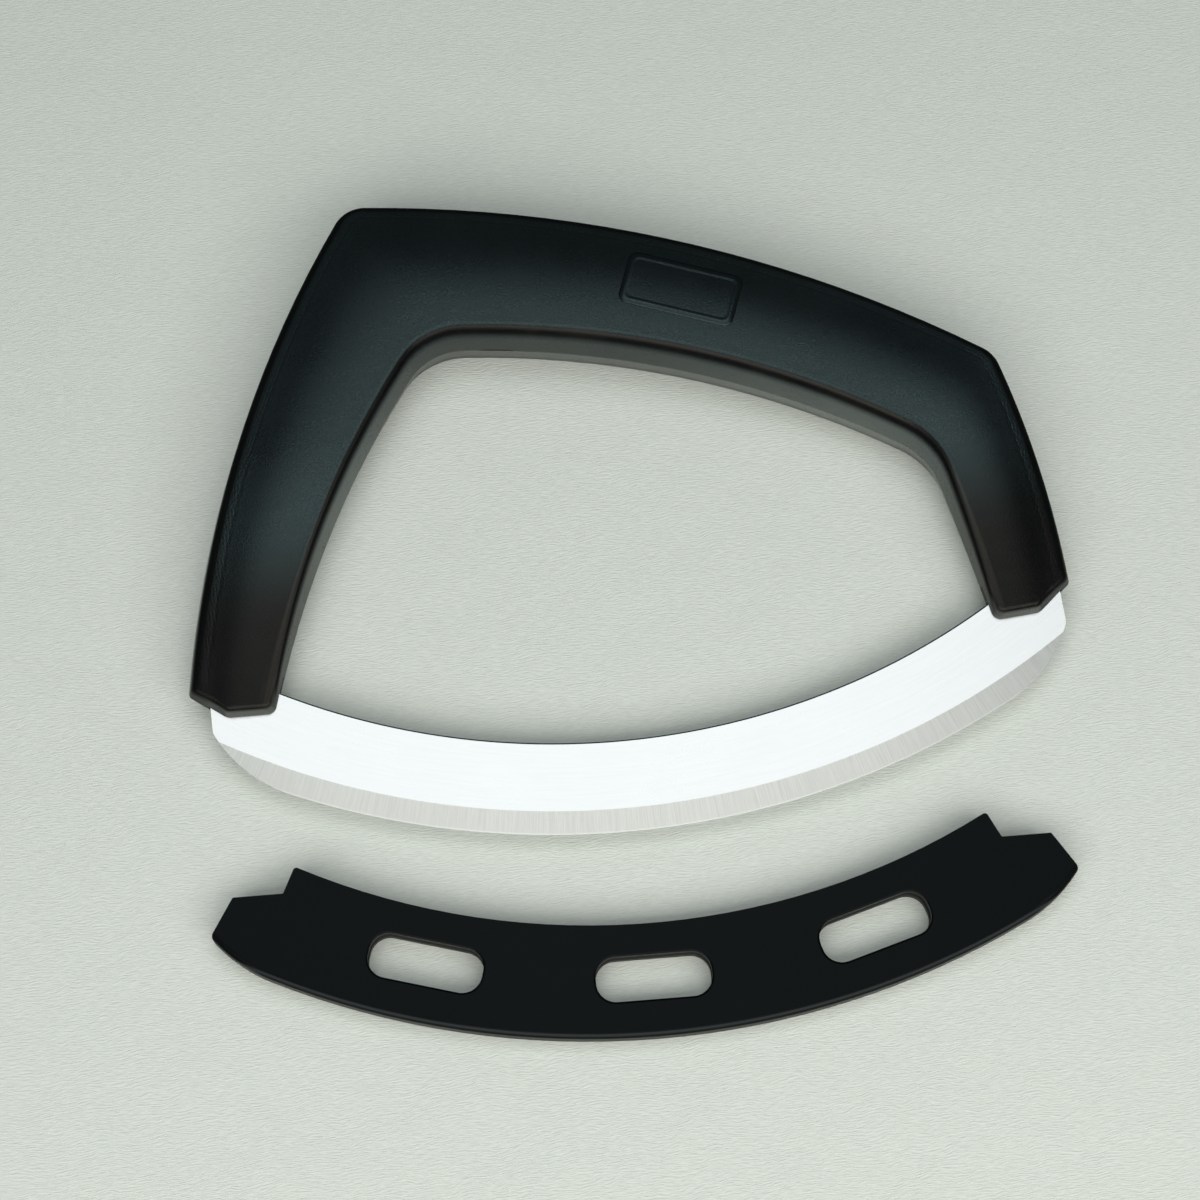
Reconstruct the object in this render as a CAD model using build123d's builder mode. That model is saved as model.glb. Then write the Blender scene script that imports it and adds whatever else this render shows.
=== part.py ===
from build123d import *
import os
from math import acos, asin, atan2, cos, hypot, radians, sin, sqrt

# One-handed mezzaluna: a curved blade held by its tangs between the two shells of a closed grip,
# with a push-on blade guard that lies off the blade in front of it. The mezzaluna lies on its
# side. It and the guard share one slightly tilted plane, the middle plane of the blade, so the
# guard goes on in a straight push. Points in that plane are (x, v): x across the blade from its
# middle, and v from the ends of the two handle limbs (v = 0) towards the grip. The third way, w,
# is square to the blade. The limbs stand a little (limb_shift) left of the blade's middle. All
# sizes are in millimetres, apart from the angles, which are in degrees.

# Handle outline, at the seam of its two shells
limb_half_outer = 101.5
limb_width = 19.2
limb_shift = 1.0
limb_corner_v = 6.6
toe_setback = 8.2
heel_drop = 0.5
left_shoulder_x = 54.9
left_shoulder_v = 122.3
right_shoulder_x = 93.7
right_shoulder_v = 63.8
left_side_rise = 7.2
right_side_rise = 1.8
back_rise = 10.9
left_corner_x = 38.7
left_corner_v = 84.0
right_corner_x = 73.7
right_corner_v = 41.9
left_inner_rise = 4.7
right_inner_rise = 0.35
grip_rise = 8.6
left_shoulder_round = 9.5
right_shoulder_round = 9.5
left_corner_round = 15.0
right_corner_round = 18.0
heel_round = 2.2
toe_round = 3.0

# Handle thickness, from the seam to one face, and how its walls and edges are shaped
grip_half = 10.2
tip_half = 4.0
thinning_start_v = 60.0
draft_angle = 13.0
roll_radius = 5.0
crisp_radius = 1.6

# Blade: a ring sector of sheet steel, with a bevel along its edge
blade_thickness = 2.0
edge_radius = 187.5
edge_drop = 38.0
blade_depth = 21.0
blade_end_inset = 3.7
end_curve_radius = 33.0
end_curve_run = 15.7
end_corner_round = 3.0
bevel_width = 5.2
edge_land = 0.3

# Tangs, which go up into the limbs
tang_inset = 3.2
tang_width = 9.5
tang_shoulder_v = 8.5
tang_top_v = 27.0
tang_corner = 1.5

# Pins through the tangs
pin_radius = 1.5
pin_half_length = 3.4
pin_clearance = 0.05
lower_pin_v = 11.0
upper_pin_v = 21.5

# Seat of the blade in the shells, and the slot in the seam for parting them
seat_gap = 0.4
reveal_height = 3.4
pry_slot_length = 8.5
pry_slot_height = 0.7
pry_slot_depth = 1.2
pry_slot_share = 0.07

# Inside of the shells
wall = 2.4
hollow_start_v = 34.0
rib_thickness = 1.6
rib_pitch = 38.0
rib_count = 4
peg_radius = 2.0
peg_height = 3.0
peg_clearance = 0.15
boss_wall = 2.2

# Blade guard
guard_thickness = 5.6
channel_width = 2.5
channel_clearance = 0.4
rim_width = 2.6
rim_roll = 1.4
guard_depth = 24.9
tip_setback = 1.7
tip_slope_width = 5.2
limb_gap = 3.0
notch_gap = 2.5
tab_slope_width = 2.8
tab_round = 0.8
tip_round = 1.3
plate_corner_round = 0.5
slot_setback = 10.0
slot_length = 25.5
slot_width = 10.0
slot_corner = 4.4
slot_angle = 16.2
slot_count = 3

# How far the guard lies from its place on the blade, and how far it is turned there
guard_travel = 43.4
guard_drift = 8.0
guard_turn = 3.14

# How far cutting tools run past what they cut
overrun = 20.0

# Sizes that follow from the ones above
limb_half_inner = limb_half_outer - limb_width
blade_half_length = limb_half_outer - blade_end_inset
blade_half = blade_thickness / 2
arc_centre_v = edge_radius - edge_drop
spine_radius = edge_radius - blade_depth
tang_inner_x = limb_half_inner + tang_inset
tang_outer_x = tang_inner_x + tang_width
tang_middle_x = tang_inner_x + tang_width / 2
rim_radius = edge_radius + channel_clearance + rim_width
guard_half = guard_thickness / 2
guard_end_x = blade_half_length - tip_setback
rim_growth = channel_clearance + rim_width
left_limb_x = -limb_half_outer - limb_shift
right_limb_x = limb_half_outer - limb_shift
handle_top_v = left_shoulder_v + overrun
handle_half_width = limb_half_outer + overrun

# Corners of the handle outline
left_foot = (left_limb_x, limb_corner_v)
right_foot = (right_limb_x, limb_corner_v)
left_toe = (left_limb_x + toe_setback, 0)
right_toe = (right_limb_x - toe_setback, 0)
left_heel = (left_limb_x + limb_width, -heel_drop)
right_heel = (right_limb_x - limb_width, -heel_drop)
left_shoulder = (-left_shoulder_x, left_shoulder_v)
right_shoulder = (right_shoulder_x, right_shoulder_v)
left_corner = (-left_corner_x, left_corner_v)
right_corner = (right_corner_x, right_corner_v)


def mirrored(points):
    """The same points on the other side of the middle, taken the other way."""
    return [(-x, v) for x, v in reversed(points)]


def bow(start, end, rise=0):
    """The middle of an arc that stands rise to the left of the way from start to end."""
    run_x, run_v = end[0] - start[0], end[1] - start[1]
    share = rise / hypot(run_x, run_v)
    return ((start[0] + end[0]) / 2 - run_v * share, (start[1] + end[1]) / 2 + run_x * share)


def arc_v(radius, x):
    """Where, at x, a circle about the blade's centre has its edge side."""
    return arc_centre_v - sqrt(radius**2 - x**2)


# Towards each end of the blade its edge leaves the large arc and curves up more tightly
end_curve_angle = asin((blade_half_length - end_curve_run) / edge_radius)
end_curve_x = (edge_radius - end_curve_radius) * sin(end_curve_angle)
end_curve_v = arc_centre_v - (edge_radius - end_curve_radius) * cos(end_curve_angle)


def end_curve_point(growth, x):
    """The point at x of the right end curve, grown outwards by an amount."""
    radius = end_curve_radius + growth
    return (x, end_curve_v - sqrt(radius**2 - (x - end_curve_x) ** 2))


def draw_edge(growth, end_x):
    """The whole edge line, from end to end, grown outwards by an amount."""
    radius = edge_radius + growth
    start_x = radius * sin(end_curve_angle)
    start = (start_x, arc_v(radius, start_x))
    middle = end_curve_point(growth, (start_x + end_x) / 2)
    end = end_curve_point(growth, end_x)
    left_end, left_middle, left_start = mirrored([start, middle, end])
    ThreePointArc(left_end, left_middle, left_start)
    ThreePointArc(left_start, (0, arc_centre_v - radius), start)
    ThreePointArc(start, middle, end)


left_inner_middle = bow(left_heel, left_corner, left_inner_rise)
grip_middle = bow(left_corner, right_corner, grip_rise)
right_inner_middle = bow(right_corner, right_heel, right_inner_rise)
right_side_middle = bow(right_foot, right_shoulder, -right_side_rise)
back_middle = bow(right_shoulder, left_shoulder, -back_rise)
left_side_middle = bow(left_shoulder, left_foot, -left_side_rise)


def handle_outline():
    """A leaning arch on two limbs, with the corners of its heels left sharp."""
    with BuildSketch() as outline:
        with BuildLine():
            Polyline(left_foot, left_toe, left_heel)
            ThreePointArc(left_heel, left_inner_middle, left_corner)
            ThreePointArc(left_corner, grip_middle, right_corner)
            ThreePointArc(right_corner, right_inner_middle, right_heel)
            Polyline(right_heel, right_toe, right_foot)
            ThreePointArc(right_foot, right_side_middle, right_shoulder)
            ThreePointArc(right_shoulder, back_middle, left_shoulder)
            ThreePointArc(left_shoulder, left_side_middle, left_foot)
        make_face()
        for spot, radius in (
            (left_toe, toe_round),
            (right_toe, toe_round),
            (left_corner, left_corner_round),
            (right_corner, right_corner_round),
            (left_shoulder, left_shoulder_round),
            (right_shoulder, right_shoulder_round),
        ):
            fillet(outline.vertices().sort_by_distance(spot)[0], radius)
    return outline.sketch


def guard_outline(end_round=0):
    """The guard seen square to its face, with its points where they stand on the blade."""
    notch_x = limb_half_inner - notch_gap
    tab_x = notch_x - tab_slope_width
    top_radius = rim_radius - guard_depth
    right = [
        end_curve_point(rim_growth, guard_end_x),
        (guard_end_x - tip_slope_width, -limb_gap),
        (notch_x, -limb_gap),
        (tab_x, arc_v(top_radius, tab_x)),
    ]
    left = mirrored(right)
    rounds = (end_round, plate_corner_round, plate_corner_round, tab_round)
    with BuildSketch() as plan:
        with BuildLine():
            draw_edge(rim_growth, guard_end_x)
            Polyline(*right)
            ThreePointArc(right[-1], (0, arc_centre_v - top_radius), left[0])
            Polyline(*left)
        make_face()
        for points in (right, left[::-1]):
            for spot, radius in zip(points, rounds):
                if radius:
                    fillet(plan.vertices().sort_by_distance(spot)[0], radius)
    return plan.sketch


outline = handle_outline()

# The guard is turned about its middle, at the edge of the blade, and moved off the blade
guard_centre_x = edge_radius * sin(radians(guard_turn)) - guard_drift
guard_centre_v = edge_radius * cos(radians(guard_turn)) - edge_drop - guard_travel
guard_place = Pos(guard_centre_x, guard_centre_v) * Rot(0, 0, -guard_turn) * Pos(0, -arc_centre_v)

# The thinned limbs and the rolled rim of the guard rest on one flat surface, which sets the tilt
thinning = grip_half - tip_half
belly_radius = (thinning_start_v**2 + thinning**2) / (2 * thinning)
rim_bottom_v = guard_centre_v - rim_radius
reach = thinning_start_v - rim_bottom_v - rim_roll
climb = belly_radius - grip_half + guard_half - rim_roll
tilt = atan2(reach, climb) - acos((belly_radius - rim_roll) / hypot(reach, climb))
seam_height = belly_radius - (belly_radius - grip_half) * cos(tilt) - thinning_start_v * sin(tilt)
back_y = outline.bounding_box().max.Y * cos(tilt)
front_y = (rim_bottom_v + rim_roll) * cos(tilt) - (guard_half - rim_roll) * sin(tilt) - rim_roll

guard_box = (guard_place * guard_outline(tip_round)).bounding_box()
left_x = min(left_limb_x, guard_box.min.X)
right_x = max(outline.bounding_box().max.X, guard_box.max.X)

# The middle plane (x, v) of the blade, the side plane (v, w) and the middle plane of the guard
lie = Plane(
    origin=(-(left_x + right_x) / 2, -(back_y + front_y) / 2, seam_height),
    x_dir=(1, 0, 0),
    z_dir=(0, -sin(tilt), cos(tilt)),
)
side = Plane(origin=lie.origin, x_dir=lie.y_dir, z_dir=lie.x_dir)
guard_plane = Plane(lie.location * guard_place)


def side_profile(inset=0):
    """The half thickness over v: level over the grip, thinning in an arc towards the feet."""
    flat_w, foot_w = grip_half - inset, tip_half - inset
    with BuildSketch() as profile:
        with BuildLine():
            Polyline((0, foot_w), (-overrun, foot_w), (-overrun, 0), (handle_top_v, 0))
            Polyline((handle_top_v, 0), (handle_top_v, flat_w), (thinning_start_v, flat_w))
            RadiusArc((thinning_start_v, flat_w), (0, foot_w), -belly_radius)
        make_face()
    return profile.sketch


def wall_tops(shape, spots):
    """The top edges of the walls that stand on the given points of the outline."""
    crown = shape.faces().filter_by(lambda face: face.normal_at().dot(lie.z_dir) > cos(0.5))
    tops = ShapeList()
    for spot in spots:
        beside = lie.from_local_coords((*spot, crisp_radius))
        wall_edges = shape.faces().sort_by_distance(beside)[0].edges()
        for face in crown:
            tops += ShapeList(edge for edge in face.edges() if edge in wall_edges)
    return tops


def half_handle():
    """The outside of one shell: drafted walls, a rolled outer edge and a crisp inner edge."""
    with BuildPart() as half:
        with BuildSketch(lie):
            add(outline)
        extrude(amount=grip_half, taper=draft_angle)
        with BuildSketch(side):
            add(side_profile())
        extrude(amount=handle_half_width, both=True, mode=Mode.INTERSECT)
        heels = ShapeList()
        for spot in (left_heel, right_heel):
            beside = lie.from_local_coords((*spot, crisp_radius))
            heels.append(half.edges().sort_by_distance(beside)[0])
        fillet(heels, heel_round)
        outer_spots = (
            left_side_middle,
            left_shoulder,
            back_middle,
            right_shoulder,
            right_side_middle,
        )
        fillet(wall_tops(half, outer_spots), roll_radius)
        inner_spots = (
            bow(left_foot, left_toe),
            left_toe,
            bow(left_toe, left_heel),
            left_heel,
            left_inner_middle,
            left_corner,
            grip_middle,
            right_corner,
            right_inner_middle,
            right_heel,
            bow(right_heel, right_toe),
            right_toe,
            bow(right_toe, right_foot),
        )
        fillet(wall_tops(half, inner_spots), crisp_radius)
    return half.part


def grown(plan, amount):
    """A plan offset by an amount (inwards if negative), drawn again in plain lines and arcs."""
    with BuildSketch() as wider:
        add(plan)
        offset(amount=amount, mode=Mode.REPLACE)
    with BuildSketch() as drawn:
        with BuildLine():
            for edge in wider.edges():
                if edge.geom_type == GeomType.LINE:
                    Line(edge @ 0, edge @ 1)
                else:
                    ThreePointArc(edge @ 0, edge @ 0.5, edge @ 1)
        make_face()
    return drawn.sketch


# The halves are pegged together at both ends of the grip and at its middle
peg_spots = (
    bow(left_shoulder, left_corner),
    bow(back_middle, grip_middle),
    bow(right_shoulder, right_corner),
)


def hollow():
    """The space inside one shell, between its wall, its ribs and the bosses of the pegs."""
    with BuildSketch() as arch:
        add(outline)
        with Locations((0, hollow_start_v - wall)):
            Rectangle(
                2 * handle_half_width,
                hollow_start_v + overrun,
                align=(Align.CENTER, Align.MAX),
                mode=Mode.SUBTRACT,
            )
    with BuildPart() as space:
        with BuildSketch(lie):
            add(grown(arch.sketch, -wall))
        extrude(amount=grip_half, taper=draft_angle)
        with BuildSketch(side):
            add(side_profile(wall))
        extrude(amount=handle_half_width, both=True, mode=Mode.INTERSECT)
        with BuildSketch(lie):
            with GridLocations(rib_pitch, rib_pitch, rib_count, 1):
                Rectangle(rib_thickness, 2 * handle_top_v)
            with Locations(*peg_spots):
                Circle(peg_radius + peg_clearance + boss_wall)
        extrude(amount=grip_half, mode=Mode.SUBTRACT)
    return space.part


tang_spots = [
    (side_sign * tang_middle_x - limb_shift, pin_v)
    for side_sign in (-1, 1)
    for pin_v in (lower_pin_v, upper_pin_v)
]


def blade_outline():
    """The blade with its two tangs, seen square to its face."""
    spine_height = arc_centre_v - spine_radius
    sides = []
    for side_sign in (1, -1):
        end_x = side_sign * blade_half_length
        inner_x = side_sign * tang_inner_x - limb_shift
        outer_x = side_sign * tang_outer_x - limb_shift
        sides.append(
            [
                (end_x, end_curve_point(0, blade_half_length)[1]),
                (end_x, tang_shoulder_v),
                (outer_x, tang_shoulder_v),
                (outer_x, tang_top_v),
                (inner_x, tang_top_v),
                (inner_x, arc_v(spine_radius, inner_x)),
            ]
        )
    right, left = sides[0], sides[1][::-1]
    with BuildSketch() as plan:
        with BuildLine():
            draw_edge(0, blade_half_length)
            Polyline(*right)
            ThreePointArc(right[-1], (0, spine_height), left[0])
            Polyline(*left)
        make_face()
        for corner in (right[0], left[-1]):
            fillet(plan.vertices().sort_by_distance(corner)[0], end_corner_round)
        for corner in (*right[3:5], *left[1:3]):
            fillet(plan.vertices().sort_by_distance(corner)[0], tang_corner)
    return plan.sketch


def seam_slot():
    """A lens-shaped slot in the seam, on the inner side of the grip near its left end."""
    inner_edge = outline.edges().sort_by_distance(grip_middle)[0]
    spot, along = inner_edge @ pry_slot_share, inner_edge % pry_slot_share
    slot_plane = Plane(
        origin=lie.from_local_coords((spot.X, spot.Y, 0)),
        x_dir=lie.x_dir * along.X + lie.y_dir * along.Y,
        z_dir=lie.y_dir * along.X - lie.x_dir * along.Y,
    )
    with BuildPart() as slot:
        with BuildSketch(slot_plane):
            Ellipse(pry_slot_length / 2, pry_slot_height / 2)
        extrude(amount=pry_slot_depth, both=True)
    return slot.part


def shell():
    """One shell of the handle: hollow grip, seat of the blade, bores of the pins."""
    with BuildPart() as half:
        add(half_handle())
        add(hollow(), mode=Mode.SUBTRACT)
        with BuildSketch(lie):
            add(grown(blade_outline(), seat_gap))
            for side_sign in (-1, 1):
                reveal_x = side_sign * tang_inner_x - limb_shift
                with Locations((reveal_x, arc_v(spine_radius, limb_half_inner))):
                    Rectangle(
                        overrun,
                        reveal_height,
                        align=(Align.MIN if side_sign < 0 else Align.MAX, Align.MIN),
                    )
        extrude(amount=blade_half, mode=Mode.SUBTRACT)
        with BuildSketch(lie):
            with Locations(*tang_spots):
                Circle(pin_radius + pin_clearance)
        extrude(amount=pin_half_length + pin_clearance, mode=Mode.SUBTRACT)
        add(seam_slot(), mode=Mode.SUBTRACT)
    return half.part


shell_half = shell()

# Front shell: the upper one here, with the sockets for the pegs
with BuildPart() as front_shell:
    add(shell_half)
    with BuildSketch(lie):
        with Locations(*peg_spots):
            Circle(peg_radius + peg_clearance)
    extrude(amount=peg_height + peg_clearance, mode=Mode.SUBTRACT)

# Rear shell: the same form mirrored at the seam, with the pegs
with BuildPart() as rear_shell:
    mirror(shell_half, about=lie)
    with BuildSketch(lie):
        with Locations(*peg_spots):
            Circle(peg_radius)
    extrude(amount=peg_height)

# Blade: cut from sheet, pierced for the pins, and ground to a bevel on both sides
with BuildPart() as blade:
    with BuildSketch(lie):
        add(blade_outline())
        with Locations(*tang_spots):
            Circle(pin_radius + pin_clearance, mode=Mode.SUBTRACT)
    extrude(amount=blade_half, both=True)
    arc_plane = Plane(
        origin=lie.from_local_coords((0, arc_centre_v, 0)),
        x_dir=-lie.y_dir,
        z_dir=lie.x_dir,
    )
    bevel_start = edge_radius - bevel_width
    ground_away = overrun + edge_radius
    for face_sign in (-1, 1):
        face_w, land_w = face_sign * blade_half, face_sign * edge_land / 2
        with BuildSketch(arc_plane):
            with BuildLine():
                Polyline(
                    (bevel_start, face_w),
                    (edge_radius, land_w),
                    (ground_away, land_w),
                    (ground_away, face_w),
                    close=True,
                )
            make_face()
        revolve(axis=Axis(arc_plane.origin, lie.z_dir), mode=Mode.SUBTRACT)


def tang_pin(spot):
    """One pin, square to the blade, through a tang and into both shells."""
    with BuildPart() as pin:
        with BuildSketch(lie):
            with Locations(spot):
                Circle(pin_radius)
        extrude(amount=pin_half_length, both=True)
    return pin.part


# Blade guard: two thin plates joined along the rim, with a channel for the blade between them
with BuildPart() as blade_guard:
    with BuildSketch(guard_plane):
        add(guard_outline())
    extrude(amount=guard_half, both=True)
    face_edges = blade_guard.faces().filter_by(Axis(lie.origin, lie.z_dir)).edges()
    rim_spot = guard_plane.from_local_coords((0, arc_centre_v - rim_radius, 0))
    fillet(face_edges.sort_by_distance(rim_spot)[:2], rim_roll)
    # The tips are rounded after the rim, so that the roll of the rim ends there
    with BuildSketch(guard_plane):
        add(guard_outline(tip_round))
    extrude(amount=guard_thickness, both=True, mode=Mode.INTERSECT)
    with BuildSketch(guard_plane):
        with Locations((0, arc_centre_v)):
            with PolarLocations(
                edge_radius - slot_setback,
                slot_count,
                start_angle=270 - slot_angle,
                angular_range=2 * slot_angle,
                endpoint=True,
            ):
                RectangleRounded(slot_width, slot_length, slot_corner)
    extrude(amount=guard_thickness, both=True, mode=Mode.SUBTRACT)
    with BuildSketch(guard_plane):
        with BuildLine():
            draw_edge(channel_clearance, blade_half_length)
            start = end_curve_point(channel_clearance, blade_half_length)
            top_left, top_right = (-blade_half_length, overrun), (blade_half_length, overrun)
            Polyline(start, top_right, top_left, *mirrored([start]))
        make_face()
    extrude(amount=channel_width / 2, both=True, mode=Mode.SUBTRACT)


os.makedirs("parts", exist_ok=True)

pieces = {
    "front_shell": front_shell.part,
    "rear_shell": rear_shell.part,
    "blade": blade.part,
    "blade_guard": blade_guard.part,
    "left_lower_pin": tang_pin(tang_spots[0]),
    "left_upper_pin": tang_pin(tang_spots[1]),
    "right_lower_pin": tang_pin(tang_spots[2]),
    "right_upper_pin": tang_pin(tang_spots[3]),
}
for name, piece in pieces.items():
    piece.label = name
    export_step(piece, f"parts/{name}.step")
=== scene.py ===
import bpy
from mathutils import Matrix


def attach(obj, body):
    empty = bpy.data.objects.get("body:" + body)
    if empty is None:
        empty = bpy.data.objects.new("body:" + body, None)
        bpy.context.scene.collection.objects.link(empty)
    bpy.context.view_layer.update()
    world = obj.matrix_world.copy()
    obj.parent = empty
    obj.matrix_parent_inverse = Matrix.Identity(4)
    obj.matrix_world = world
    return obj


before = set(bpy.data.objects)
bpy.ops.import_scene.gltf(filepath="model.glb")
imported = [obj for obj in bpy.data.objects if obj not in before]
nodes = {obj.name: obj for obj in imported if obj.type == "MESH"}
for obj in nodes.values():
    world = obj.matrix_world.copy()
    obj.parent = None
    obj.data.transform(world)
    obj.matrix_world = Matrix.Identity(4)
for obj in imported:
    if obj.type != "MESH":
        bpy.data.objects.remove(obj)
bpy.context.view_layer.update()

import math
import bpy
import numpy as np
from mathutils import Matrix, Vector

scene = bpy.context.scene

# The blade, the handle and the guard lie in one tilted plane. Places in it are (x, v) in metres
# from the point below, v towards the grip, and w is the height over that plane. The blade's arcs
# share the centre arcCentre.
layLook = {
    "origin": (0.000998, -0.018453, 0.007346), "tilt": 0.054638, "arcCentre": (0.0, 0.1495, 0.0),
}


class Sock:  # a shader socket; sums on it add their Math nodes
    def __init__(self, kit, socket):
        self.kit, self.socket = kit, socket

    def math(self, operation, other=None, third=None, flip=False):
        inputs = [self] + [value for value in (other, third) if value is not None]
        if flip:
            inputs[0], inputs[1] = inputs[1], inputs[0]
        return self.kit.node("ShaderNodeMath", {"operation": operation}, dict(enumerate(inputs)))

    def __add__(self, other): return self.math("ADD", other)
    def __radd__(self, other): return self.math("ADD", other, flip=True)
    def __sub__(self, other): return self.math("SUBTRACT", other)
    def __rsub__(self, other): return self.math("SUBTRACT", other, flip=True)
    def __mul__(self, other): return self.math("MULTIPLY", other)
    def __rmul__(self, other): return self.math("MULTIPLY", other, flip=True)
    def __truediv__(self, other): return self.math("DIVIDE", other)
    def __rtruediv__(self, other): return self.math("DIVIDE", other, flip=True)
    def __pow__(self, other): return self.math("POWER", other)
    def __abs__(self): return self.math("ABSOLUTE")
    def above(self, other): return self.math("MAXIMUM", other)
    def below(self, other): return self.math("MINIMUM", other)

    def clamped(self):
        return self.kit.node("ShaderNodeClamp", {}, {"Value": self, "Min": 0.0, "Max": 1.0})

    def step(self, low, high):  # 0 under low, 1 over high, smooth between them
        return self.kit.node(
            "ShaderNodeMapRange", {"interpolation_type": "SMOOTHSTEP", "clamp": True},
            {"Value": self, "From Min": low, "From Max": high, "To Min": 0.0, "To Max": 1.0},
            "Result")

    def fall(self, low, high):  # 1 under low, 0 over high
        return 1.0 - self.step(low, high)

    def about(self, amount):  # noise about its middle, amount from its lowest to its highest
        return (self - 0.5) * amount


class ShaderKit:  # one material and the one method that adds nodes to it
    def __init__(self, name):
        self.material = bpy.data.materials.new(name)
        self.material.use_nodes = True
        self.tree = self.material.node_tree
        self.tree.nodes.clear()
        self.place = self.node("ShaderNodeTexCoord", {}, {}, "Object")

    def node(self, kind, settings, inputs, output=0):
        made = self.tree.nodes.new(kind)
        for key, value in settings.items():
            setattr(made, key, value)
        for key, value in inputs.items():
            target = made.inputs[key]
            if isinstance(value, Sock):
                self.tree.links.new(value.socket, target)
            else:
                target.default_value = value
        return Sock(self, made.outputs[output]) if len(made.outputs) else made

    def vector(self, operation, one, other=None, output="Vector"):
        inputs = {0: one} if other is None else {0: one, 1: other}
        return self.node("ShaderNodeVectorMath", {"operation": operation}, inputs, output)

    def distance(self, place, centre):
        return self.vector("DISTANCE", place, centre, "Value")

    def noise(self, scale, detail, roughness, place=None):  # scale: a number, or one for each axis
        place = place or self.place
        if isinstance(scale, tuple):
            place, scale = self.vector("MULTIPLY", place, scale), 1.0
        return self.node("ShaderNodeTexNoise", {}, {
            "Vector": place, "Scale": scale, "Detail": detail, "Roughness": roughness}, "Fac")

    def mixed(self, factor, one, other):
        return self.node("ShaderNodeMix", {"data_type": "RGBA"}, {0: factor, 6: one, 7: other}, 2)

    def split(self, vector):
        first = self.node("ShaderNodeSeparateXYZ", {}, {"Vector": vector})
        return [Sock(self, out) for out in first.socket.node.outputs]

    def joined(self, x, y):
        return self.node("ShaderNodeCombineXYZ", {}, {"X": x, "Y": y, "Z": 0.0})

    def seenFrom(self, place, origin, turn):  # the place in axes that stand at origin, turned
        return self.node("ShaderNodeMapping", {"vector_type": "TEXTURE"},
                         {"Vector": place, "Location": origin, "Rotation": turn})

    def lay(self):  # the flat place (x, v, 0) and the height w over the tilted plane
        laid = self.seenFrom(self.place, layLook["origin"], (layLook["tilt"], 0.0, 0.0))
        return self.vector("MULTIPLY", laid, (1.0, 1.0, 0.0)), self.split(laid)[2]

    def roundedBox(self, place, half, corner):  # distance from a rounded rectangle, inside < 0
        near = self.vector("SUBTRACT", self.vector("ABSOLUTE", place),
                           (half[0] - corner, half[1] - corner, 0.0))
        x, y = self.split(near)[:2]
        outside = (x.above(0.0) ** 2 + y.above(0.0) ** 2) ** 0.5
        return outside + x.above(y).below(0.0) - corner

    def bump(self, height):  # height in metres
        return self.node("ShaderNodeBump", {}, {"Height": height, "Distance": 1.0, "Strength": 1.0})

    def finish(self, inputs, other=None, factor=None):  # other lies over the first by factor
        shader = self.node("ShaderNodeBsdfPrincipled", {}, inputs)
        if other:
            second = self.node("ShaderNodeBsdfPrincipled", {}, {**inputs, **other})
            shader = self.node("ShaderNodeMixShader", {}, {0: factor, 1: shader, 2: second})
        self.node("ShaderNodeOutputMaterial", {}, {"Surface": shader})
        return self.material


def paint(names, material):
    for name in names:
        mesh = nodes[name].data
        mesh.materials.clear()
        mesh.materials.append(material)


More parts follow.
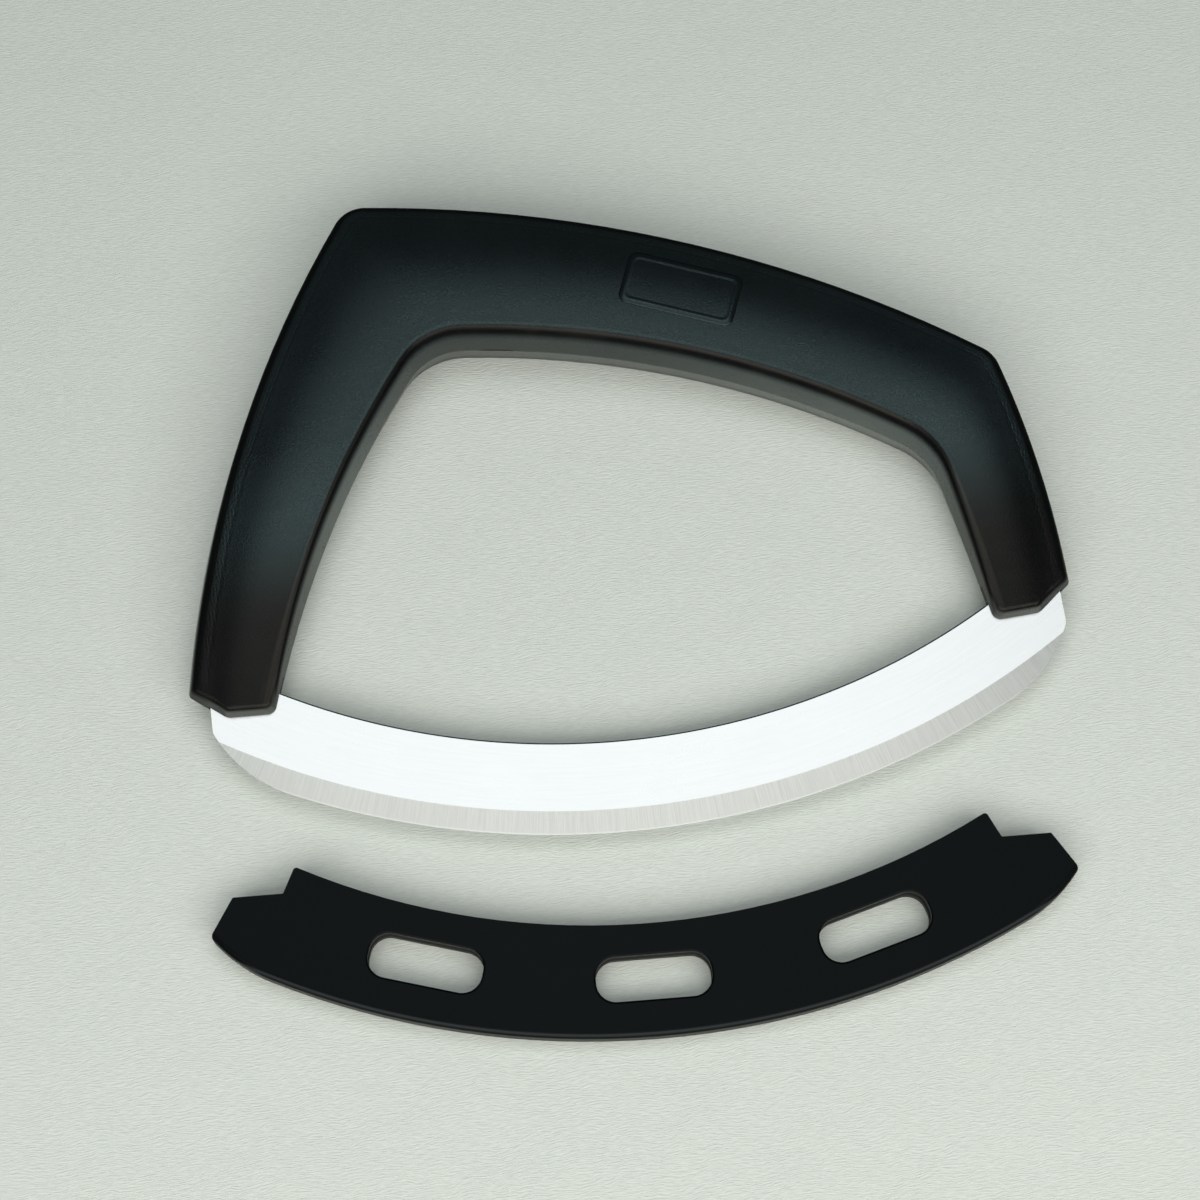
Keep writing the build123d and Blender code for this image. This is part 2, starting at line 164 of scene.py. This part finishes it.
# Handle: satin black plastic. A pair of values is where a change over the surface begins and ends.
# A noise is its scale, detail and roughness.
handleLook = {
    "colour": (0.0015, 0.0019, 0.0021, 1), "otherColour": (0.0026, 0.0031, 0.0034, 1),
    "colourCloud": (0.35, 0.7), "ior": 1.55, "specularTint": (0.66, 0.95, 1.0, 1),
    "roughness": 0.29, "cloudRough": 0.08, "grainRough": 0.1, "streakRough": 0.05,
    "cloud": (60.0, 4.0, 0.6), "grain": (3200.0, 2.0, 0.65), "grainDepth": 0.00005,
    "streak": ((90.0, 700.0, 700.0), 3.0, 0.6),
    # a second, duller finish on the limbs' ends, round the roll of the edge and in the grain
    "dullIor": 1.27, "dullTint": (1.0, 0.98, 0.93, 1), "dullEnds": (0.018, 0.050),
    "dullRoll": (0.50, 0.70), "dullRollEnd": (0.90, 0.97), "dullGrain": (0.35, 0.65),
    "dullGrainAmount": 0.42,
    # the face lies between two outlines, each of three arcs given by centre and radius
    "outerArcs": (((0.169275, -0.037569, 0), 0.27534), ((-0.085742, -0.174029, 0), 0.297929),
                  ((-0.130817, 0.008105, 0), 0.231322)),
    "innerArcs": (((0.15165, -0.070489, 0), 0.245153), ((-0.054438, -0.129112, 0), 0.213692),
                  ((-0.574618, -0.096189, 0), 0.662861)),
    "cornerBlend": 0.012, "innerMargin": 0.0036, "outerMargin": 0.0062, "leastWidth": 0.006,
    # the face is crowned: it leans in at its inner edge and out at its outer edge, in radians
    "innerLean": 0.04, "outerLean": 0.27, "leanPower": 1.5, "innerEase": 0.08,
    "outerEase": 0.4, "crownEnd": 1.08,
    # half the handle's thickness, less towards the blade, and the roll between face and wall
    "halfThick": 0.0102, "thinFrom": 0.060, "thinSpread": 0.59,
    "rollFrom": 0.43, "rollBend": 0.84, "rollStart": (0.001, 0.009),
    "seamWidth": (0.00008, 0.00024), "seamDepth": 0.00012,
    # painted highlights along the inner edge and its arris, and painted reflection on walls and
    # ends
    "innerHighlightColour": (0.010, 0.0095, 0.0085, 1), "innerHighlightShare": (0.0, 0.06), "innerHighlightCloud": (0.45, 0.7),
    "innerHighlightAmount": 0.6,
    "arrisHighlightColour": (0.027, 0.0255, 0.023, 1), "arrisHighlightShare": (-0.10, -0.05),
    "arrisHighlightLevel": (0.78, 0.86), "arrisHighlightStart": (-0.03, 0.05),
    "wallReflectionColour": (0.050, 0.050, 0.045, 1), "limbWallReflectionColour": (0.125, 0.135, 0.125, 1),
    "limbWallReflectionEnd": (0.050, 0.080), "wallReflectionShare": (-0.12, -0.04), "wallReflectionTop": (0.40, 0.67),
    "wallReflectionFade": (-0.012, 0.012), "wallReflectionFadeAmount": 0.5, "wallReflectionCloud": 0.4,
    "toeReflectionEnd": (0.0, 0.006), "toeReflectionLevel": (0.80, 0.92), "toeReflectionAmount": 0.5,
}


def faceShare(kit, flat, look):  # 0 at the face's inner edge, 1 at its outer edge, and its width
    inner = [kit.distance(flat, centre) - radius for centre, radius in look["innerArcs"]]
    outer = [radius - kit.distance(flat, centre) for centre, radius in look["outerArcs"]]
    gap, rest = inner[0], outer[0]
    for one, other in zip(inner[1:], outer[1:]):
        gap = gap.math("SMOOTH_MAX", one, look["cornerBlend"])
        rest = rest.math("SMOOTH_MIN", other, look["cornerBlend"])
    margins = look["innerMargin"] + look["outerMargin"]
    width = (gap + rest - margins).above(look["leastWidth"])
    return (gap - look["innerMargin"]) / width, width


def handlePlastic(look):
    kit = ShaderKit("handlePlastic")
    flat, w = kit.lay()
    v = kit.split(flat)[1]
    share, width = faceShare(kit, flat, look)
    grain, cloud, streak = [kit.noise(*look[name]) for name in ("grain", "cloud", "streak")]
    top = look["halfThick"] - (look["thinFrom"] - v).above(0.0) ** 2 / look["thinSpread"]
    level = (abs(w) / top).below(1.0)  # 0 at the seam, 1 at the face

    # height: the crown sums up a lean that grows outwards, and the roll is a parabola of level
    eased = share.math("SMOOTH_MAX", 0.0, look["innerEase"])
    eased = eased.math("SMOOTH_MIN", look["crownEnd"], look["outerEase"])
    lean = (look["innerLean"] + look["outerLean"]) / (look["leanPower"] + 1.0)
    crown = eased * width * (look["innerLean"] - eased ** look["leanPower"] * lean)
    bend = (level - look["rollFrom"]).above(0.0) ** 2 - (1.0 - look["rollFrom"]) ** 2
    roll = bend * top * look["rollBend"] * v.step(*look["rollStart"])
    seam = abs(w).fall(*look["seamWidth"]) * look["seamDepth"]
    height = crown - roll - seam + grain * look["grainDepth"]

    tone = kit.mixed(cloud.step(*look["colourCloud"]), look["colour"], look["otherColour"])
    # painted highlight, in patches, along the face's inner edge
    innerHighlight = share.fall(*look["innerHighlightShare"]) * cloud.step(*look["innerHighlightCloud"])
    tone = kit.mixed(innerHighlight * look["innerHighlightAmount"], tone, look["innerHighlightColour"])
    # painted highlight on the fillet along the inner arris
    arris = share.fall(*look["arrisHighlightShare"]) * level.step(*look["arrisHighlightLevel"])
    tone = kit.mixed(arris * v.step(*look["arrisHighlightStart"]), tone, look["arrisHighlightColour"])
    # painted reflection of the table: inner walls paler, more so lower down and on the limbs
    inner = share.fall(*look["wallReflectionShare"]) * (w / top).fall(*look["wallReflectionTop"])
    inner = inner * (1.0 - w.step(*look["wallReflectionFade"]) * look["wallReflectionFadeAmount"])
    inner = inner * (1.0 + cloud.about(look["wallReflectionCloud"]))
    # painted reflection on the limbs' ends
    toeReflection = v.fall(*look["toeReflectionEnd"]) * level.fall(*look["toeReflectionLevel"]) * look["toeReflectionAmount"]
    wall = kit.mixed(v.step(*look["limbWallReflectionEnd"]), look["limbWallReflectionColour"], look["wallReflectionColour"])
    tone = kit.mixed(inner.above(toeReflection).clamped(), tone, wall)

    rough = (look["roughness"] + cloud.about(look["cloudRough"])
             + grain.about(look["grainRough"]) + streak.about(look["streakRough"]))
    rolled = level.fall(*look["dullRollEnd"]) * level.step(*look["dullRoll"])
    grained = grain.step(*look["dullGrain"]) * look["dullGrainAmount"]
    dull = v.fall(*look["dullEnds"]).above(rolled).above(grained)
    return kit.finish({"Base Color": tone, "Roughness": rough, "IOR": look["ior"],
                       "Specular Tint": look["specularTint"], "Normal": kit.bump(height)},
                      {"IOR": look["dullIor"], "Specular Tint": look["dullTint"]}, dull)


handleMaterial = handlePlastic(handleLook)
paint(("front_shell", "rear_shell"), handleMaterial)
print("handle plastic")

# The plain pad on the grip, moulded with the shell: closed rings of (inset, height over the face),
# from the bottom in the shell's wall over the rim to the floor inside it
padLook = {
    "centre": (0.0217, 0.0875), "turn": -0.391, "half": (0.0138, 0.0067), "corner": 0.0022,
    "cornerSteps": 7, "cornerShrink": 0.5,
    "rings": ((0.0, -0.0006), (0.0, 0.0), (0.0003, 0.00012), (0.0008, 0.00036),
              (0.0011, 0.00040), (0.0013, 0.00040), (0.0017, 0.00029), (0.0019, 0.00028)),
}


def layPoints(x, v, w):  # places in the tilted plane as points in the scene
    tiltCos, tiltSin = math.cos(layLook["tilt"]), math.sin(layLook["tilt"])
    originX, originY, originZ = layLook["origin"]
    return np.stack(np.broadcast_arrays(originX + x, originY + v * tiltCos - w * tiltSin,
                                        originZ + v * tiltSin + w * tiltCos), axis=-1)


# A grid of ring by place round it: the middle of the nearest corner's arc, plus the arc's radius
# at an angle that goes once round in four quarters. The insets shrink both.
def gripPad(look, material):
    inset, height = np.array(look["rings"]).T[:, :, None]
    quarter = np.repeat(np.arange(4), look["cornerSteps"])
    part = np.tile(np.linspace(0.0, 1.0, look["cornerSteps"]), 4)
    angle = (quarter + part) * math.radians(90.0)
    side, end = np.array((1, -1, -1, 1))[quarter], np.array((1, 1, -1, -1))[quarter]
    radius = look["corner"] - inset * look["cornerShrink"]
    across = side * (look["half"][0] - inset - radius) + np.cos(angle) * radius
    up = end * (look["half"][1] - inset - radius) + np.sin(angle) * radius
    turnCos, turnSin = math.cos(look["turn"]), math.sin(look["turn"])
    points = layPoints(look["centre"][0] + across * turnCos - up * turnSin,
                       look["centre"][1] + across * turnSin + up * turnCos,
                       handleLook["halfThick"] + height)

    rings, around = points.shape[:2]
    number = np.arange(rings * around).reshape(rings, around)
    after = np.roll(number, -1, axis=1)
    quads = np.stack((number[:-1], after[:-1], after[1:], number[1:]), axis=-1).reshape(-1, 4)
    ends = [number[0, ::-1].tolist(), number[-1].tolist()]
    mesh = bpy.data.meshes.new("gripPad")
    mesh.from_pydata(points.reshape(-1, 3).tolist(), [], ends + quads.tolist())
    mesh.polygons.foreach_set("use_smooth", [False] * len(ends) + [True] * len(quads))
    mesh.materials.append(material)
    pad = bpy.data.objects.new("gripPad", mesh)
    scene.collection.objects.link(pad)
    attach(pad, "mezzaluna")


gripPad(padLook, handleMaterial)
print("grip pad")

# Blade: satin sheet steel, with a bevel that is ground square to the edge. The arcs of the spine,
# of the bevel's start and of the edge are radii, and the pairs beside them count from those arcs.
bladeLook = {
    "colour": (0.575, 0.585, 0.59, 1), "otherColour": (0.60, 0.61, 0.615, 1),
    "colourCloud": (0.35, 0.68), "cloud": (70.0, 4.0, 0.6),
    "roughness": 0.26, "cloudRough": 0.08, "brushedRough": 0.05,
    "brushed": ((60.0, 1800.0, 1.0), 3.0, 0.6),
    "bevelStart": 0.1823, "bevelBlend": (-0.00004, 0.00004), "bevelRoughness": 0.36,
    "bevelColour": (0.71, 0.73, 0.72, 1), "bevelDark": (0.58, 0.60, 0.59, 1),
    "lines": ((9000.0, 90.0, 1.0), 4.0, 0.75), "lineTone": (0.32, 0.62), "lineRough": 0.2,
    "lineDepth": 0.000006,
    # painted highlight along the cutting edge
    "edge": 0.1875, "edgeHighlightLine": (-0.0004, -0.0002), "edgeHighlightAmount": 0.6,
    "edgeHighlightColour": (0.85, 0.87, 0.86, 1),
    # painted dark reflection along the spine
    "spine": 0.1665, "spineReflectionLine": (0.00012, 0.0004), "spineReflectionAmount": 0.85,
    "spineReflectionColour": (0.05, 0.10, 0.11, 1), "spineRound": (0.0, 0.00035), "spineDrop": 0.00012,
}


def bladeSteel(look):
    kit = ShaderKit("bladeSteel")
    flat = kit.lay()[0]
    radius = kit.distance(flat, layLook["arcCentre"])
    x, v = kit.split(kit.vector("SUBTRACT", flat, layLook["arcCentre"]))[:2]
    along = x.math("ARCTAN2", v * -1.0) * look["edge"]

    def past(arc, pair):  # 0 to 1 over the pair of distances from an arc
        return radius.step(look[arc] + look[pair][0], look[arc] + look[pair][1])

    unrolled = kit.joined(along, radius)
    lines, brushed = kit.noise(*look["lines"], unrolled), kit.noise(*look["brushed"], unrolled)
    cloud = kit.noise(*look["cloud"])
    bevel = past("bevelStart", "bevelBlend")
    face = kit.mixed(cloud.step(*look["colourCloud"]), look["colour"], look["otherColour"])
    ground = kit.mixed(lines.step(*look["lineTone"]), look["bevelDark"], look["bevelColour"])
    tone = kit.mixed(bevel, face, ground)
    # painted highlight: a pale line along the cutting edge
    tone = kit.mixed(past("edge", "edgeHighlightLine") * look["edgeHighlightAmount"], tone, look["edgeHighlightColour"])
    # painted dark reflection: a dark teal line along the spine
    spineReflection = (1.0 - past("spine", "spineReflectionLine")) * look["spineReflectionAmount"]
    tone = kit.mixed(spineReflection, tone, look["spineReflectionColour"])
    bevelRough = look["bevelRoughness"] - look["roughness"] + lines.about(look["lineRough"])
    rough = (look["roughness"] + cloud.about(look["cloudRough"])
             + brushed.about(look["brushedRough"]) + bevel * bevelRough)
    spineHeight = (1.0 - past("spine", "spineRound")) * look["spineDrop"]
    height = lines * bevel * look["lineDepth"] - spineHeight
    return kit.finish({"Base Color": tone, "Metallic": 1.0, "Roughness": rough,
                       "Normal": kit.bump(height)})


paint(("blade",), bladeSteel(bladeLook))
print("blade steel")

# Guard: a duller black plastic than the handle's. Its own centre and turn place the three slots,
# whose edges are a little rounded, and the painted highlight line along its outer rim.
guardLook = {
    "colour": (0.0004, 0.0008, 0.0010, 1), "otherColour": (0.0011, 0.0015, 0.0018, 1),
    "colourCloud": (0.35, 0.7), "ior": 1.19, "specularTint": (0.85, 0.98, 1.0, 1),
    "roughness": 0.42, "cloudRough": 0.10, "grainRough": 0.1,
    "cloud": (75.0, 4.0, 0.6), "grain": (2100.0, 2.0, 0.65), "grainDepth": 0.000010,
    "centre": (0.002271, 0.105819, 0), "turn": -0.054803,
    "slotRadius": 0.1775, "slotAngles": (-0.282743, 0.0, 0.282743),
    "slotHalf": (0.01275, 0.005), "slotCorner": 0.0044, "lipWidth": (-0.0001, 0.0005),
    "lipDrop": 0.00022, "seamWidth": (0.00006, 0.0002), "seamDepth": 0.00010,
    # painted highlight line along the outer rim
    "rimHighlightColour": (0.034, 0.040, 0.043, 1), "rimHighlightRadius": 0.1899, "rimHighlightWidth": (0.0001, 0.0004),
    "rimHighlightAmount": 0.7,
    # painted reflection of the table on the walls
    "wallReflectionColour": (0.038, 0.036, 0.032, 1), "wallReflectionTop": (0.0010, 0.0020),
    "wallReflectionFoot": (-0.0028, -0.0018), "slotWallReflectionAmount": 0.5, "slotWallReflectionEnd": (0.002, 0.004),
}


def guardPlastic(look):
    kit = ShaderKit("guardPlastic")
    flat, w = kit.lay()
    own = kit.seenFrom(flat, look["centre"], (0, 0, look["turn"]))
    grain, cloud = kit.noise(*look["grain"]), kit.noise(*look["cloud"])
    gap = None  # the distance from the nearest slot
    for angle in look["slotAngles"]:
        spot = (look["slotRadius"] * math.sin(angle), -look["slotRadius"] * math.cos(angle), 0.0)
        turned = kit.seenFrom(own, spot, (0, 0, angle))
        one = kit.roundedBox(turned, look["slotHalf"], look["slotCorner"])
        gap = one if gap is None else gap.below(one)
    lip = gap.fall(*look["lipWidth"]) * look["lipDrop"]
    seam = abs(w).fall(*look["seamWidth"]) * look["seamDepth"]
    height = grain * look["grainDepth"] - lip - seam
    tone = kit.mixed(cloud.step(*look["colourCloud"]), look["colour"], look["otherColour"])
    # painted highlight: a paler line along the outer rim
    rim = kit.distance(own, (0, 0, 0)) - look["rimHighlightRadius"]
    tone = kit.mixed(abs(rim).fall(*look["rimHighlightWidth"]) * look["rimHighlightAmount"], tone,
                     look["rimHighlightColour"])
    # painted reflection of the table on the outer walls, half as strong on the slots' walls
    slotWallReflection = gap.step(*look["slotWallReflectionEnd"]) * (1.0 - look["slotWallReflectionAmount"])
    side = w.fall(*look["wallReflectionTop"]) * w.step(*look["wallReflectionFoot"])
    tone = kit.mixed(side * (look["slotWallReflectionAmount"] + slotWallReflection), tone, look["wallReflectionColour"])
    rough = (look["roughness"] + cloud.about(look["cloudRough"])
             + grain.about(look["grainRough"]))
    return kit.finish({"Base Color": tone, "Roughness": rough, "IOR": look["ior"],
                       "Specular Tint": look["specularTint"], "Normal": kit.bump(height)})


paint(("blade_guard",), guardPlastic(guardLook))
print("guard plastic")

# Pins: drawn steel rods, hidden in the limbs
pinLook = {
    "colour": (0.55, 0.55, 0.56, 1), "otherColour": (0.42, 0.42, 0.43, 1),
    "roughness": 0.32, "drawnRough": 0.2, "drawnDepth": 0.000004,
    "drawn": ((4000.0, 4000.0, 300.0), 3.0, 0.6), "cloud": (600.0, 3.0, 0.6),
}


def pinSteel(look):
    kit = ShaderKit("pinSteel")
    drawn, cloud = kit.noise(*look["drawn"]), kit.noise(*look["cloud"])
    return kit.finish({"Base Color": kit.mixed(cloud, look["colour"], look["otherColour"]),
                       "Metallic": 1.0, "Normal": kit.bump(drawn * look["drawnDepth"]),
                       "Roughness": look["roughness"] + drawn.about(look["drawnRough"])})


paint(("left_lower_pin", "left_upper_pin", "right_lower_pin", "right_upper_pin"),
      pinSteel(pinLook))
print("pin steel")

# Table top: a pale sheet with short level ripples that wander a little
tableLook = {
    "size": 6.0, "colour": (0.72, 0.775, 0.73, 1), "otherColour": (0.785, 0.84, 0.795, 1),
    "rippleTone": (0.3, 0.7), "ripple": ((430.0, 3000.0, 1.0), 2.0, 0.55),
    "rippleHeight": 0.00019, "wander": (60.0, 3.0, 0.55), "wanderAmount": 0.005,
    "swell": (38.0, 2.0, 0.5), "swellHeight": 0.00004, "swellRough": 0.1, "roughness": 0.6,
}


def tableTop(look):
    half = look["size"] / 2
    mesh = bpy.data.meshes.new("tableTop")
    corners = [(-half, -half, 0), (half, -half, 0), (half, half, 0), (-half, half, 0)]
    mesh.from_pydata(corners, [], [(0, 1, 2, 3)])
    top = bpy.data.objects.new("tableTop", mesh)
    scene.collection.objects.link(top)
    kit = ShaderKit("tableSheet")
    x, y = kit.split(kit.place)[:2]
    wandered = kit.joined(x, y + kit.noise(*look["wander"]).about(look["wanderAmount"]))
    ripple, swell = kit.noise(*look["ripple"], wandered), kit.noise(*look["swell"])
    height = ripple * look["rippleHeight"] + swell * look["swellHeight"]
    mesh.materials.append(kit.finish({
        "Base Color": kit.mixed(ripple.step(*look["rippleTone"]), look["colour"],
                                look["otherColour"]),
        "Roughness": look["roughness"] + swell.about(look["swellRough"]),
        "Normal": kit.bump(height)}))


tableTop(tableLook)
print("table")

# Camera: it looks at aim, down by elevation and turned to the right by turn, in degrees
cameraLook = {
    "aim": (-0.00607, -0.00134, 0.00829), "elevation": 68.0, "turn": 7.9, "distance": 0.6422,
    "lens": 84.0, "sensor": 36.0, "clip": (0.01, 20.0),
}


def camera(look):
    elevation, turn = math.radians(look["elevation"]), math.radians(look["turn"])
    ahead = Vector((math.sin(turn) * math.cos(elevation), math.cos(turn) * math.cos(elevation),
                    -math.sin(elevation)))
    right = Vector((math.cos(turn), -math.sin(turn), 0))
    up = right.cross(ahead)
    data = bpy.data.cameras.new("studioCamera")
    data.lens, data.sensor_width, data.sensor_fit = look["lens"], look["sensor"], "HORIZONTAL"
    data.clip_start, data.clip_end = look["clip"]
    view = bpy.data.objects.new("studioCamera", data)
    place = Vector(look["aim"]) - ahead * look["distance"]
    turned = Matrix((right, up, -ahead)).transposed().to_4x4()
    view.matrix_world = Matrix.Translation(place) @ turned
    scene.collection.objects.link(view)
    scene.camera = view


camera(cameraLook)

# Light: a cool soft box overhead that the flat faces mirror, a weaker and warmer strip in front of
# it, and a large warm box further in front
lampLook = {
    "overhead": {"at": (0.02, 0.215, 1.0), "size": (0.85, 0.50), "radiance": 1.75,
                 "colour": (0.965, 1.0, 0.985)},
    "middle": {"at": (0.02, -0.145, 1.0), "size": (0.85, 0.21), "radiance": 0.95,
               "colour": (0.98, 0.92, 0.84)},
    "front": {"at": (0.0, -1.15, 1.0), "size": (2.6, 1.4), "radiance": 2.7,
              "colour": (1.0, 0.97, 0.91)},
}
worldLook = {"colour": (0.80, 0.95, 1.0, 1), "strength": 0.09}


def lamp(name, look):  # a rectangle that shines straight down
    width, depth = look["size"]
    data = bpy.data.lights.new(name, "AREA")
    data.shape, data.size, data.size_y = "RECTANGLE", width, depth
    data.energy, data.color = look["radiance"] * math.pi * width * depth, look["colour"]
    light = bpy.data.objects.new(name, data)
    light.location = look["at"]
    scene.collection.objects.link(light)


for lampName, lampValues in lampLook.items():
    lamp(lampName, lampValues)

world = bpy.data.worlds.new("studioWorld")
scene.world = world
world.use_nodes = True
background = world.node_tree.nodes["Background"]
background.inputs["Color"].default_value = worldLook["colour"]
background.inputs["Strength"].default_value = worldLook["strength"]
scene.view_settings.view_transform = "Standard"
print("camera and light")
